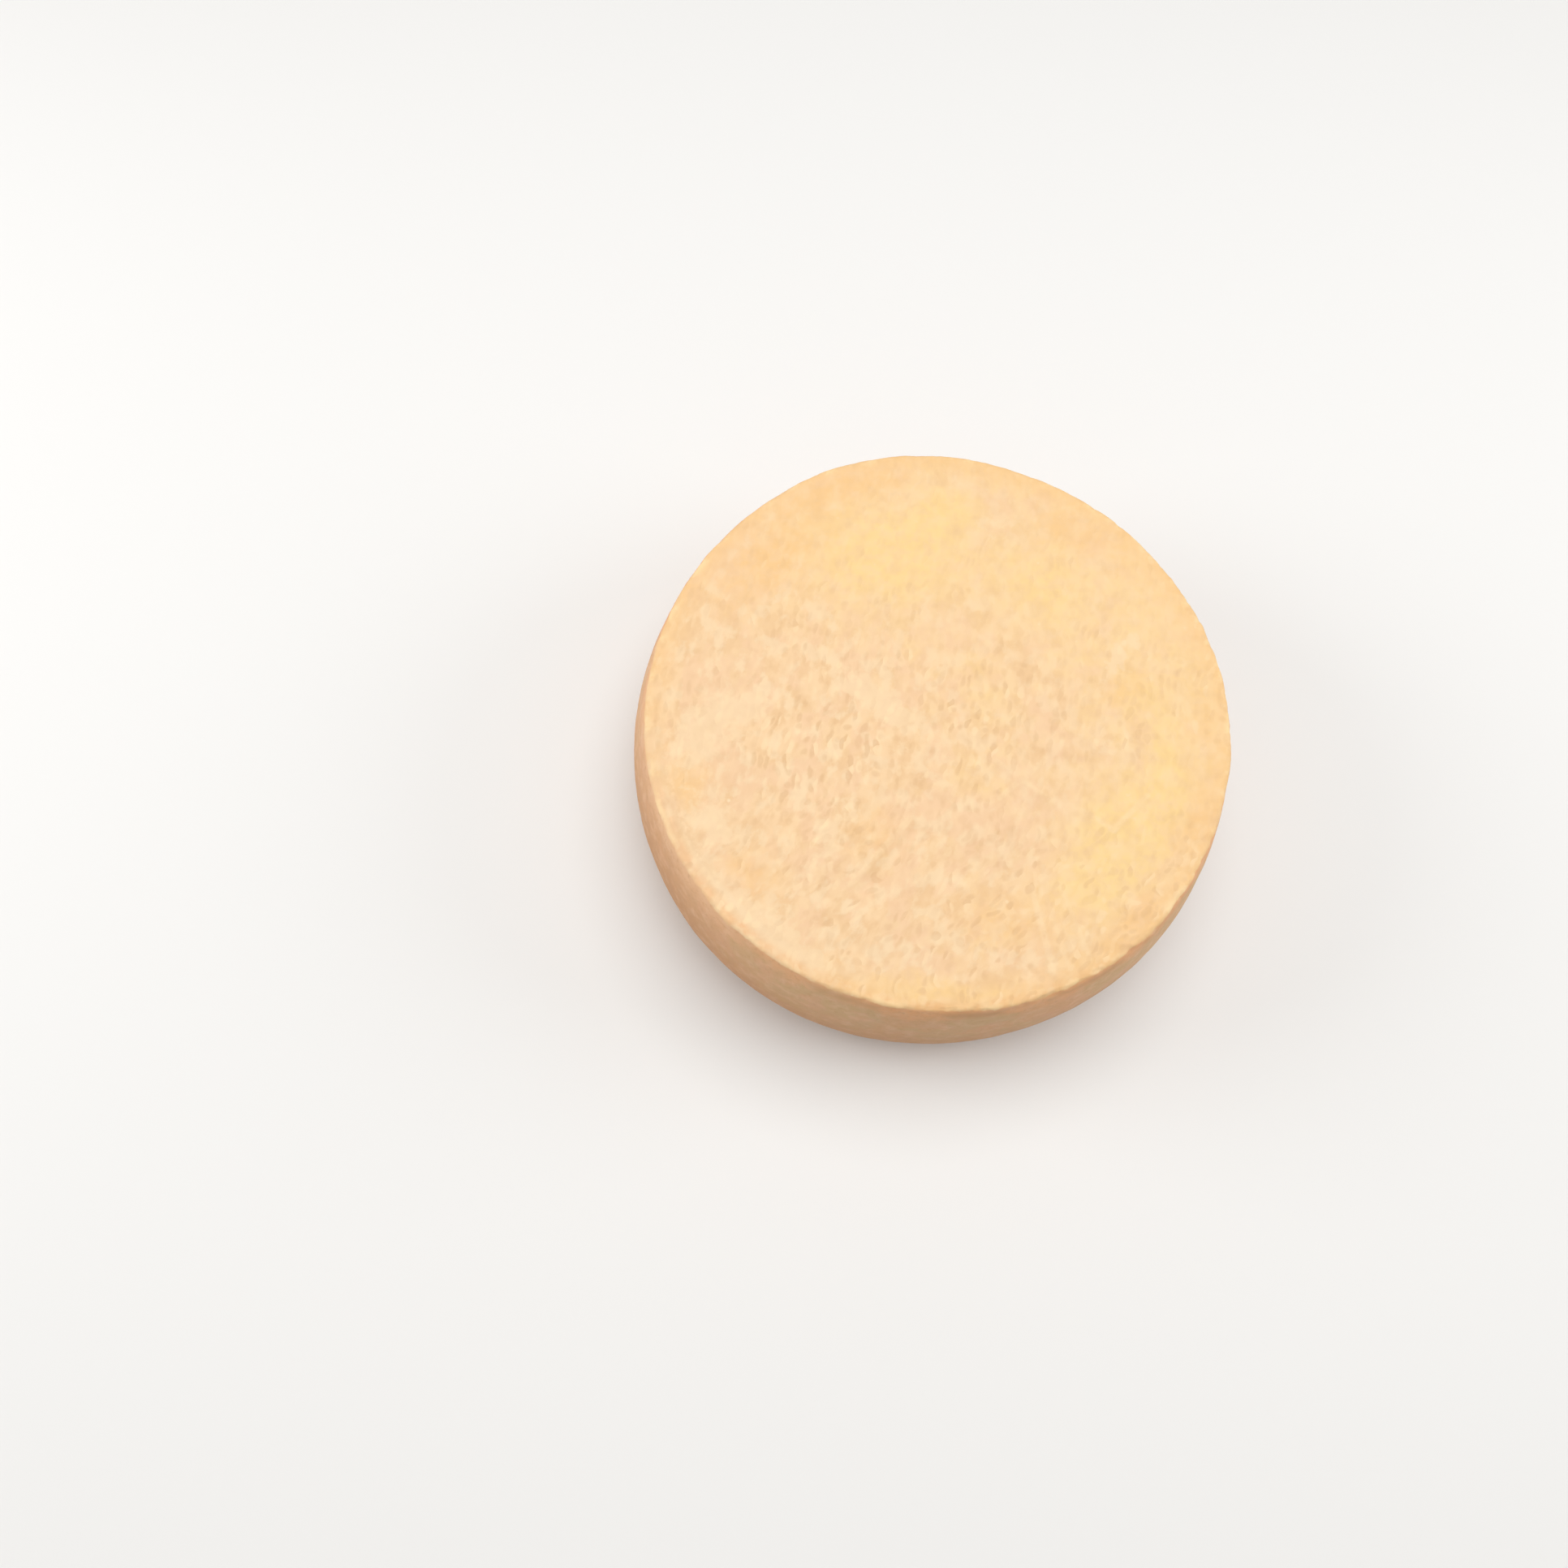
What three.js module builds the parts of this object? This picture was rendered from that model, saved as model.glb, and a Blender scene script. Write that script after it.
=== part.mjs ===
// A small wheel of semi-hard cheese with its natural rind on, pressed in a cloth-lined mould and
// aged standing on one face. Millimetres, +Z up. The origin is the centre of the flat base.
import * as THREE from "three";

// Driving dimensions of the wheel.
const HEIGHT = 60;
const RIM_RADIUS = 84;      // the crisp upper edge, where the mould's lid pressed
const RIM_ROUNDING = 2.4;
const BELLY_SWELL = 5.4;    // how far the side bulges out past the rim
const BELLY_LEVEL = 27.6;   // height of the widest ring
const FLARE_ANGLE = 18;     // degrees that the side leans out just below the rim
const FOOT_RADIUS = 74;     // flat disc that carries the wheel
const FOOT_SWEEP = 9;       // how far the round lower corner runs in along the shelf
const BELLY_SWEEP = 12;     // how far the belly runs straight down before it turns in
const SHOULDER_SWEEP = 10;  // the same for the curve between rim and belly

// How the wheel departs from a true circle.
const LOBES = 4;
const LOBE_HEIGHT = 0.25;
const LOBE_ANGLE = 18;      // degrees, a high spot of the rim
const LOBE_TWIST = 70;      // how far the high spots turn from the rim to the foot
const FLAT_ANGLE = 167;     // middle of the stretch where the rim was pressed in
const FLAT_SPREAD = 52;
const FLAT_DEPTH = 2.1;
const FLAT_BELLY_SHARE = 0.35; // what is left of it at the belly and below

// Low relief of the upper face.
const HUMMOCKS = 6;
const HUMMOCK_LENGTH = 40;  // wavelength of the broadest swell
const HUMMOCK_HEIGHT = 0.16;
const HUMMOCK_SHORTENING = 0.33;
const HUMMOCK_LOWERING = 0.5;
const HUMMOCK_TURN = 2.4;   // radians from one swell's direction to the next, so none repeats
const LIP_ANGLE = 201;      // where a fold of the cloth left a raised lip along the rim
const LIP_SPREAD = 17;
const LIP_HEIGHT = 0.55;
const LIP_INSET = 1.9;      // lip's crest, inwards from the rim
const LIP_WIDTH = 1.1;
const GROOVE_DEPTH = 0.5;
const GROOVE_INSET = 4.6;
const CREASE_WIDTH = 1.6;
const RELIEF_FADE = 8;      // how far below the rim the relief of the upper face ends
const CREASES = [           // folds of the cloth: ends of each line, and its height
  { from: [18, -25], to: [31, -13], height: 0.3 },
  { from: [17, -14], to: [32, -25], height: 0.25 },
  { from: [41, -28], to: [49, -33], height: 0.25 },
  { from: [49, -33], to: [59, -23], height: 0.3 },
  { from: [-23, -51], to: [-7, -32], height: 0.35 },
  { from: [-20, -53], to: [-4, -34], height: -0.3 },
  { from: [-5, -21], to: [-5, -31], height: -0.35 },
  { from: [26, -50], to: [31, -73], height: 0.3 },
];

// How finely the skin is divided.
const SECTORS = 128;
const TOP_RINGS = 22;
const RING_CROWDING = 0.35; // how much closer the top's rings lie at the rim than in the middle
const RIM_STEPS = 3;
const SHOULDER_STEPS = 6;
const LOWER_STEPS = 8;

const radians = THREE.MathUtils.degToRad;
const bell = (distance, spread) => Math.exp(-((distance / spread) ** 2));
const plateau = (distance, spread) => Math.exp(-((distance / spread) ** 4));

// Smallest turn between two directions, in degrees.
function turnBetween(angle, other) {
  const turn = Math.abs(angle - other) % 360;
  return Math.min(turn, 360 - turn);
}

// Half of the wheel's outline below the upper face, as (radius, height) from the rim to the foot.
function sideProfile() {
  const lean = radians(FLARE_ANGLE);
  const outward = new THREE.Vector2(Math.sin(lean), -Math.cos(lean));
  const corner = new THREE.Vector2(RIM_RADIUS, HEIGHT);
  const edgeStart = new THREE.Vector2(RIM_RADIUS - RIM_ROUNDING, HEIGHT);
  const edgeEnd = corner.clone().addScaledVector(outward, RIM_ROUNDING);
  const belly = new THREE.Vector2(RIM_RADIUS + BELLY_SWELL, BELLY_LEVEL);
  const foot = new THREE.Vector2(FOOT_RADIUS, 0);

  const edge = new THREE.QuadraticBezierCurve(edgeStart, corner, edgeEnd);
  const shoulder = new THREE.CubicBezierCurve(
    edgeEnd,
    edgeEnd.clone().addScaledVector(outward, SHOULDER_SWEEP),
    new THREE.Vector2(belly.x, belly.y + SHOULDER_SWEEP),
    belly,
  );
  const lower = new THREE.CubicBezierCurve(
    belly,
    new THREE.Vector2(belly.x, belly.y - BELLY_SWEEP),
    new THREE.Vector2(foot.x + FOOT_SWEEP, 0),
    foot,
  );
  return [
    ...edge.getPoints(RIM_STEPS),
    ...shoulder.getPoints(SHOULDER_STEPS).slice(1),
    ...lower.getPoints(LOWER_STEPS).slice(1),
  ];
}

// The rings of the upper face lie closer together towards the rim, where its relief is.
function topRadius(ring) {
  const share = ring / TOP_RINGS;
  return (RIM_RADIUS - RIM_ROUNDING) * share * (1 + RING_CROWDING * (1 - share));
}

// Slow swells of the upper face: waves that get shorter and lower from one to the next.
function hummocks(x, y) {
  let height = 0;
  for (let wave = 0; wave < HUMMOCKS; wave += 1) {
    const turn = wave * HUMMOCK_TURN;
    const length = HUMMOCK_LENGTH / (1 + wave * HUMMOCK_SHORTENING);
    const swell = HUMMOCK_HEIGHT / (1 + wave * HUMMOCK_LOWERING);
    const along = x * Math.cos(turn) + y * Math.sin(turn);
    height += swell * Math.sin(2 * Math.PI * along / length + turn);
  }
  return height;
}

function creaseHeight(x, y) {
  const point = new THREE.Vector3(x, y, 0);
  const nearest = new THREE.Vector3();
  let height = 0;
  for (const crease of CREASES) {
    const line = new THREE.Line3(new THREE.Vector3(...crease.from, 0), new THREE.Vector3(...crease.to, 0));
    line.closestPointToPoint(point, true, nearest);
    height += crease.height * bell(point.distanceTo(nearest), CREASE_WIDTH);
  }
  return height;
}

// The lip and the groove behind it, along one stretch of the rim.
function lipHeight(radius, angle) {
  const inset = RIM_RADIUS - radius;
  const crest = LIP_HEIGHT * bell(inset - LIP_INSET, LIP_WIDTH);
  const groove = GROOVE_DEPTH * bell(inset - GROOVE_INSET, LIP_WIDTH);
  return (crest - groove) * bell(turnBetween(angle, LIP_ANGLE), LIP_SPREAD);
}

// All relief of the upper face. It dies out a little way down the side.
function topRelief(x, y, radius, height, angle) {
  const share = THREE.MathUtils.smoothstep(height, HEIGHT - RELIEF_FADE, HEIGHT);
  return share === 0 ? 0 : share * (hummocks(x, y) + creaseHeight(x, y) + lipHeight(radius, angle));
}

// Where a point of the ideal wheel lies on the real one. It is given by its radius, its height
// and its angle in degrees.
function place(radius, height, angle) {
  const twist = LOBE_TWIST * (1 - height / HEIGHT);
  const lobe = LOBE_HEIGHT * Math.cos(LOBES * radians(angle - LOBE_ANGLE - twist));
  const rimShare = THREE.MathUtils.smoothstep(height, BELLY_LEVEL, HEIGHT);
  const flatShare = THREE.MathUtils.lerp(FLAT_BELLY_SHARE, 1, rimShare);
  const flat = FLAT_DEPTH * flatShare * plateau(turnBetween(angle, FLAT_ANGLE), FLAT_SPREAD);
  const reach = radius * (1 + (lobe - flat) / RIM_RADIUS);
  const x = reach * Math.cos(radians(angle));
  const y = reach * Math.sin(radians(angle));
  return new THREE.Vector3(x, y, height + topRelief(x, y, radius, height, angle));
}

// Adds one ring of points and returns the index of its first.
function addRing(points, placeAt) {
  const first = points.length;
  for (let sector = 0; sector < SECTORS; sector += 1) {
    points.push(placeAt(360 * sector / SECTORS));
  }
  return first;
}

// Closes the strip between two rings, the first nearer to the top centre.
function joinRings(faces, upper, lower) {
  for (let sector = 0; sector < SECTORS; sector += 1) {
    const next = (sector + 1) % SECTORS;
    faces.push(upper + sector, lower + sector, lower + next);
    faces.push(upper + sector, lower + next, upper + next);
  }
}

// Closes a ring to one point with a fan, seen from outside on the side that faceUp tells.
function capRing(faces, ring, centre, faceUp) {
  for (let sector = 0; sector < SECTORS; sector += 1) {
    const next = (sector + 1) % SECTORS;
    faces.push(centre, ring + (faceUp ? sector : next), ring + (faceUp ? next : sector));
  }
}

function wheelGeometry() {
  const points = [place(0, HEIGHT, 0)];
  const faces = [];
  const stops = sideProfile();
  for (let ring = TOP_RINGS - 1; ring > 0; ring -= 1) {
    stops.unshift(new THREE.Vector2(topRadius(ring), HEIGHT));
  }
  const rings = stops.map((stop) => addRing(points, (angle) => place(stop.x, stop.y, angle)));
  capRing(faces, rings[0], 0, true);
  for (let ring = 1; ring < rings.length; ring += 1) {
    joinRings(faces, rings[ring - 1], rings[ring]);
  }
  const footCentre = points.push(new THREE.Vector3(0, 0, 0)) - 1;
  capRing(faces, rings[rings.length - 1], footCentre, false);

  const geometry = new THREE.BufferGeometry();
  geometry.setFromPoints(points);
  geometry.setIndex(faces);
  geometry.computeVertexNormals();
  return geometry;
}

const rind = new THREE.MeshStandardMaterial({ color: 0xf3c898, roughness: 0.75, metalness: 0 });
const cheeseWheel = new THREE.Mesh(wheelGeometry(), rind);
cheeseWheel.name = "cheese_wheel";

const model = new THREE.Group();
model.add(cheeseWheel);

export default model;
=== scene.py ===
import math

import bpy
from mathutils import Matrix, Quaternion, Vector
from mathutils.geometry import interpolate_bezier


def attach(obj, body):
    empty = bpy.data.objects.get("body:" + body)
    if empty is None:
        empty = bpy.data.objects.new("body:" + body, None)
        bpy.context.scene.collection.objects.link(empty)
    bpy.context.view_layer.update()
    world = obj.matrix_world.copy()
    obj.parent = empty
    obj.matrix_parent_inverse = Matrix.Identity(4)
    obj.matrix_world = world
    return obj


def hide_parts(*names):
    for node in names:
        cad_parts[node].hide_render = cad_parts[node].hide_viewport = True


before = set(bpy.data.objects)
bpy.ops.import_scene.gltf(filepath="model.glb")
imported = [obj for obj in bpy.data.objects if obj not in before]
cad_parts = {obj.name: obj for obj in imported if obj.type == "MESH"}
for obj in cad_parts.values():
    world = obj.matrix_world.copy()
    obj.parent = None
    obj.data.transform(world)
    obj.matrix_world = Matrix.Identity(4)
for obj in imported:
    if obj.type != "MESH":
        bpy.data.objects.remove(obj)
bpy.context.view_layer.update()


# ---------------------------------------------------------------------------------------------
# Sizes of the wheel, in metres. Directions are in degrees, anticlockwise from +X.

HEIGHT = 0.060
RIM_RADIUS = 0.084          # the crisp upper edge, where the mould's lid pressed
RIM_ROUNDING = 0.0012
BELLY_SWELL = 0.0054        # how far the side bulges out past the rim
BELLY_LEVEL = 0.0276        # height of the widest ring
FLARE_ANGLE = 18            # how much the side leans out just below the rim
FOOT_RADIUS = 0.074         # flat disc that carries the wheel
FOOT_SWEEP = 0.009          # how far the round lower corner runs in along the shelf
BELLY_SWEEP = 0.012         # how far the belly runs straight down before it turns in
SHOULDER_SWEEP = 0.010      # the same for the curve between rim and belly

# How the wheel departs from a true circle.
LOBES = 4                   # high spots round the wheel
LOBE_HEIGHT = 0.00025
LOBE_ANGLE = 18             # direction of the first of them, at the rim
LOBE_TWIST = 70             # how far the high spots turn from the rim to the foot
FLAT_ANGLE = 167            # middle of the stretch where the rim was pressed in
FLAT_SPREAD = 52
FLAT_DEPTH = 0.0021
FLAT_BELLY_SHARE = 0.35     # what is left of it at the belly and below
SCALLOP_LENGTH = 0.0095     # shallow waves of the upper edge
SCALLOP_DEPTH = 0.0010
SCALLOP_START = 0.012       # where they begin, inwards from the rim, and where they are full
SCALLOP_FULL = 0.003
BACK_ANGLE = 105            # where the rim is a little fuller
BACK_SPREAD = 50
BACK_FULLNESS = 0.0008

# Low relief of the upper face.
HUMMOCKS = 6
HUMMOCK_LENGTH = 0.040      # wavelength of the broadest swell
HUMMOCK_HEIGHT = 0.00016
HUMMOCK_SHORTENING = 0.33   # how each next swell gets shorter and lower
HUMMOCK_LOWERING = 0.5
HUMMOCK_TURN = 2.4          # radians from one swell's direction to the next, so none repeats
LIP_ANGLE = 201             # where a fold of the cloth left a raised lip along the rim
LIP_SPREAD = 17
LIP_HEIGHT = 0.00055
LIP_INSET = 0.0026          # lip's crest, inwards from the rim
LIP_WIDTH = 0.0011
LIP_SHARES = (0.5, 1.1)     # of its height, where the waves of the edge dip and where they swell
GROOVE_DEPTH = 0.0005
GROOVE_INSET = 0.0052
CREASE_WIDTH = 0.0011
RELIEF_FADE = 0.008         # how far below the rim the relief of the upper face ends
CREASES = [                 # folds of the cloth: the ends of each line, and its height
    ((0.018, -0.025), (0.031, -0.013), 0.00030),
    ((0.017, -0.014), (0.032, -0.025), 0.00025),
    ((0.041, -0.028), (0.049, -0.033), 0.00025),
    ((0.049, -0.033), (0.059, -0.023), 0.00030),
    ((-0.023, -0.051), (-0.007, -0.032), 0.00035),
    ((-0.020, -0.053), (-0.004, -0.034), -0.00030),
    ((-0.005, -0.021), (-0.005, -0.031), -0.00035),
    ((0.026, -0.050), (0.031, -0.073), 0.00030),
    ((0.030, -0.053), (0.035, -0.071), 0.00018),
    ((0.034, -0.050), (0.041, -0.069), 0.00020),
]

# Marks of the cloth on the faces: small dabs along its threads, shorter ones in front, broad soft
# ones and pits. Their pitches are given across the threads and along them.
THREAD_ANGLE = 78           # direction of the threads that the marks are long along
THREAD_BEND = 0.25          # how much the threads turn aside in front
BEND_START = -0.034         # where they begin to, and over what length
BEND_LENGTH = 0.020
CLOTH_SWAY = 0.008          # how far the cloth's grid wanders off straight
SWAY_LENGTH = 0.020
EDGE_SWAY = 0.0011          # how far the edge of a mark wanders
EDGE_SWAY_LENGTH = 0.0022
FINE_DAB = (0.0021, 0.0048)
SHORT_DAB = (0.0024, 0.0038)
SHORT_DAB_SPAN = (-0.018, -0.046)   # where they take over from the fine ones, towards the front
SHORT_DAB_SHIFT = 1.3       # moves their pattern on, so they don't lie on the fine ones
CURL = 0.006                # how far the short dabs curl, and over what length
CURL_LENGTH = 0.0065
DAB_REACH = 0.42            # radius of the smallest dab, in pitches
DAB_REACH_SPREAD = 0.20     # how much further the largest one reaches
DAB_SOFTNESS = 0.30         # width of a dab's soft edge
DAB_RANDOMNESS = 0.9        # 0 is an even lattice
DAB_HEIGHT = 0.000025
BROAD_DAB_LENGTH = 0.0046
BROAD_DAB_SPAN = (-0.050, 0.045)    # they weaken from front to back
BROAD_DAB_STRENGTHS = (1.6, 1.1)
PIT_PITCH = (0.0034, 0.0040)
PIT_BOTTOM = 0.12           # radius of a pit's flat bottom and of the whole pit, in pitches
PIT_REACH = 0.36
PIT_RANDOMNESS = 0.55
PIT_DEPTH = 0.00004
GRIP_PATCH_LENGTH = 0.022   # patches that the cloth gripped more or less firmly
GRIP_PLACE = (-0.016, -0.010)       # where it gripped most, and how far round that
GRIP_REACH = 0.036
SLACK_SPAN = (0.010, 0.045)         # where it gets slacker towards the back

# Other fine relief of the rind.
GRAIN_HEIGHT = 0.00003
GRAIN_LENGTH = 0.0012
BEAD_PITCH = 0.0110         # small pale beads of bloom
BEAD_RADIUS = 0.0008
BEAD_HEIGHT = 0.00016
NOTCH_DEPTH = 0.00045       # crumbled spots of the upper edge
NOTCH_LENGTH = 0.0036
NOTCH_INSET = 0.0002        # where they are deepest, inwards from the edge, and how far they reach
NOTCH_REACH = 0.0023
NOTCH_ANGLE = 318           # middle of the stretch with the most of them
NOTCH_SPREAD = 60
SIDE_DENT_HEIGHT = 0.00030
SIDE_DENT_LENGTH = 0.009
UNDERSIDE_SHIFT = 0.31      # moves the pattern on, so the underside isn't a copy of the top
UNDERSIDE_SINK = 0.0002     # keeps the relief of the underside clear of the shelf

# Where the finish of the faces gives way to the side's.
TOP_EDGE_DROPS = (0.0004, 0.0011)   # below the rim
TOP_EDGE_JAG_LENGTH = 0.0055        # jags of that line
UNDER_EDGE_LEVELS = (0.0004, 0.0035)

# How finely the skin is divided before its relief is raised.
SECTORS = 216               # round the wheel, a multiple of four
RIM_STEPS = 3
SHOULDER_STEPS = 11
LOWER_STEPS = 12
FINE_SKIN_LEVEL = 0.0525    # above this height the skin is divided once more


# ---------------------------------------------------------------------------------------------
# Recipes: relief and colour are both written as sums of plain terms in a node tree.

class Term:
    """One number that varies over the skin. Arithmetic signs work on it."""

    def __init__(self, recipe, socket):
        self.recipe = recipe
        self.socket = socket

    def __add__(self, other):
        return self.recipe.math("ADD", self, other)

    __radd__ = __add__

    def __sub__(self, other):
        return self.recipe.math("SUBTRACT", self, other)

    def __rsub__(self, other):
        return self.recipe.math("SUBTRACT", other, self)

    def __mul__(self, other):
        return self.recipe.math("MULTIPLY", self, other)

    __rmul__ = __mul__

    def __truediv__(self, other):
        return self.recipe.math("DIVIDE", self, other)


class Recipe:
    """A node tree that a relief or a colour is written in."""

    def __init__(self, tree):
        self.tree = tree
        tree.nodes.clear()

    def add(self, kind, **settings):
        node = self.tree.nodes.new(kind)
        for name, value in settings.items():
            setattr(node, name, value)
        return node

    def feed(self, socket, value):
        if isinstance(value, Term):
            self.tree.links.new(value.socket, socket)
        else:
            socket.default_value = value

    def math(self, operation, *values):
        node = self.add("ShaderNodeMath", operation=operation)
        for socket, value in zip(node.inputs, values):
            self.feed(socket, value)
        return Term(self, node.outputs[0])

    def least(self, value, other):
        return self.math("MINIMUM", value, other)

    def most(self, value, other):
        return self.math("MAXIMUM", value, other)

    def step(self, value, low, high, at_low=0.0, at_high=1.0):
        """Goes smoothly from at_low to at_high as the value goes from low to high."""
        node = self.add("ShaderNodeMapRange", interpolation_type="SMOOTHSTEP")
        self.feed(node.inputs["Value"], value)
        self.feed(node.inputs["From Min"], low)
        self.feed(node.inputs["From Max"], high)
        self.feed(node.inputs["To Min"], at_low)
        self.feed(node.inputs["To Max"], at_high)
        return Term(self, node.outputs["Result"])

    def bell(self, distance, spread):
        """1 at no distance, about a third at the spread, and nought far away."""
        ratio = distance * (1 / spread)
        return self.math("EXPONENT", 0.0 - ratio * ratio)

    def plateau(self, distance, spread):
        """As a bell, but with a flat middle."""
        ratio = distance * (1 / spread)
        square = ratio * ratio
        return self.math("EXPONENT", 0.0 - square * square)

    def join(self, x, y, z):
        node = self.add("ShaderNodeCombineXYZ")
        for socket, value in zip(node.inputs, (x, y, z)):
            self.feed(socket, value)
        return Term(self, node.outputs[0])

    def parts(self, vector):
        node = self.add("ShaderNodeSeparateXYZ")
        self.feed(node.inputs[0], vector)
        return [Term(self, socket) for socket in node.outputs]

    def length(self, *sides):
        square = 0.0
        for side in sides:
            square = side * side + square
        return self.math("SQRT", square)

    def turn_between(self, angle, other):
        """Smallest turn between two directions, in degrees."""
        return self.math("PINGPONG", angle - other, 180.0)

    def noise(self, point, size, detail=2.0, roughness=0.5):
        """Cloudy values round 0.5, with clouds about as large as size."""
        node = self.noise_node(point, size, detail, roughness)
        return Term(self, node.outputs[0])

    def noise_pair(self, point, size, detail=1.0):
        """Two unlike clouds, both round nought."""
        node = self.noise_node(point, size, detail, 0.5)
        first, second, _ = self.parts(Term(self, node.outputs[1]))
        return first - 0.5, second - 0.5

    def noise_node(self, point, size, detail, roughness):
        node = self.add("ShaderNodeTexNoise")
        self.feed(node.inputs["Vector"], point)
        self.feed(node.inputs["Scale"], 1 / size)
        self.feed(node.inputs["Detail"], detail)
        self.feed(node.inputs["Roughness"], roughness)
        return node

    def cells(self, point, randomness, dimensions="2D"):
        """Distance to the nearest seed of an uneven lattice of pitch 1, and that seed's own
        two random numbers."""
        node = self.add("ShaderNodeTexVoronoi", voronoi_dimensions=dimensions)
        self.feed(node.inputs["Vector"], point)
        self.feed(node.inputs["Scale"], 1.0)
        self.feed(node.inputs["Randomness"], randomness)
        first, second, _ = self.parts(Term(self, node.outputs["Color"]))
        return Term(self, node.outputs["Distance"]), first, second


class ReliefRecipe(Recipe):
    """A recipe that moves the points of a mesh."""

    def __init__(self, name):
        super().__init__(bpy.data.node_groups.new(name, "GeometryNodeTree"))
        for way in ("INPUT", "OUTPUT"):
            self.tree.interface.new_socket("Geometry", in_out=way, socket_type="NodeSocketGeometry")
        self.mesh = self.add("NodeGroupInput").outputs[0]

    def point(self):
        return Term(self, self.add("GeometryNodeInputPosition").outputs[0])

    def normal(self):
        return Term(self, self.add("GeometryNodeInputNormal").outputs[0])

    def stored(self, name):
        node = self.add("GeometryNodeInputNamedAttribute", data_type="FLOAT")
        node.inputs["Name"].default_value = name
        return Term(self, node.outputs["Attribute"])

    def store(self, name, value):
        node = self.add("GeometryNodeStoreNamedAttribute", data_type="FLOAT", domain="POINT")
        node.inputs["Name"].default_value = name
        self.tree.links.new(self.mesh, node.inputs["Geometry"])
        self.feed(node.inputs["Value"], value)
        self.mesh = node.outputs["Geometry"]

    def place_at(self, point):
        self.set_position("Position", point)

    def swell_by(self, height):
        """Moves every point outwards along its normal."""
        node = self.add("ShaderNodeVectorMath", operation="SCALE")
        self.feed(node.inputs[0], self.normal())
        self.feed(node.inputs["Scale"], height)
        self.set_position("Offset", Term(self, node.outputs[0]))

    def set_position(self, socket, value):
        node = self.add("GeometryNodeSetPosition")
        self.tree.links.new(self.mesh, node.inputs["Geometry"])
        self.feed(node.inputs[socket], value)
        self.mesh = node.outputs["Geometry"]

    def apply_to(self, piece):
        self.tree.links.new(self.mesh, self.add("NodeGroupOutput").inputs[0])
        modifier = piece.modifiers.new(self.tree.name, "NODES")
        modifier.node_group = self.tree
        bpy.ops.object.modifier_apply(modifier=modifier.name)


class ColourRecipe(Recipe):
    """A recipe that colours a surface."""

    def __init__(self, name):
        self.material = bpy.data.materials.new(name)
        self.material.use_nodes = True
        super().__init__(self.material.node_tree)

    def point(self):
        return Term(self, self.add("ShaderNodeTexCoord").outputs["Object"])

    def stored(self, name):
        return Term(self, self.add("ShaderNodeAttribute", attribute_name=name).outputs["Fac"])

    def blend(self, share, base, top):
        """Lays the top colour over the base, as much as the share says."""
        node = self.add("ShaderNodeMix", data_type="RGBA", clamp_factor=True)
        base_socket, top_socket = node.inputs[6:8]      # those of the kind for colours
        self.feed(node.inputs["Factor"], share)
        self.feed(base_socket, base)
        self.feed(top_socket, top)
        return Term(self, node.outputs[2])

    def bump(self, height, distance, strength):
        """Relief too fine for the mesh, as the shader's normal."""
        node = self.add("ShaderNodeBump")
        node.inputs["Strength"].default_value = strength
        node.inputs["Distance"].default_value = distance
        self.feed(node.inputs["Height"], height)
        return Term(self, node.outputs[0])

    def finish(self, colour, roughness, normal=None):
        """Ends in one plain shader."""
        shader = self.add("ShaderNodeBsdfPrincipled")
        self.feed(shader.inputs["Base Color"], colour)
        self.feed(shader.inputs["Roughness"], roughness)
        if normal is not None:
            self.feed(shader.inputs["Normal"], normal)
        output = self.add("ShaderNodeOutputMaterial")
        self.tree.links.new(shader.outputs[0], output.inputs["Surface"])
        return self.material


class Skin:
    """Where on the wheel a recipe is being worked out. Radius and level are those of the true
    round wheel that the skin was stretched from."""

    def __init__(self, recipe):
        self.point = recipe.point()
        self.x, self.y, self.z = recipe.parts(self.point)
        self.radius = recipe.stored("radius")
        self.level = recipe.stored("level")
        self.angle = recipe.math("ARCTAN2", self.y, self.x) * math.degrees(1)
        self.inset = RIM_RADIUS - self.radius
        self.drop = HEIGHT - self.level
        # The jag is round 1: where it is more, the top's finish ends nearer to the rim.
        jag = recipe.noise(self.point, TOP_EDGE_JAG_LENGTH, detail=3.0) * 3.0 - 0.5
        self.top = recipe.step(self.drop * jag, *TOP_EDGE_DROPS, at_low=1.0, at_high=0.0)
        self.under = recipe.step(self.level, *UNDER_EDGE_LEVELS, at_low=1.0, at_high=0.0)
        self.face = self.top + self.under
        self.side = 1.0 - self.face


def tint(red, green, blue):
    """A colour as it is picked on a screen, made linear."""
    channels = []
    for value in (red, green, blue):
        share = value / 255
        if share <= 0.04045:
            channels.append(share / 12.92)
        else:
            channels.append(((share + 0.055) / 1.055) ** 2.4)
    return (*channels, 1.0)


# ---------------------------------------------------------------------------------------------
# Patterns of the rind that both its relief and its colour follow.

def along_threads(recipe, skin, shift=0.0):
    """A point's place along the cloth's threads, and across them. In front they turn aside."""
    turn = math.radians(THREAD_ANGLE)
    x = skin.x + skin.under * UNDERSIDE_SHIFT + shift
    front = recipe.math("SMOOTH_MIN", skin.y - BEND_START, 0.0, BEND_LENGTH)
    along = x * math.cos(turn) + skin.y * math.sin(turn)
    across = x * math.sin(turn) - skin.y * math.cos(turn) - front * THREAD_BEND
    return along, across


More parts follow.
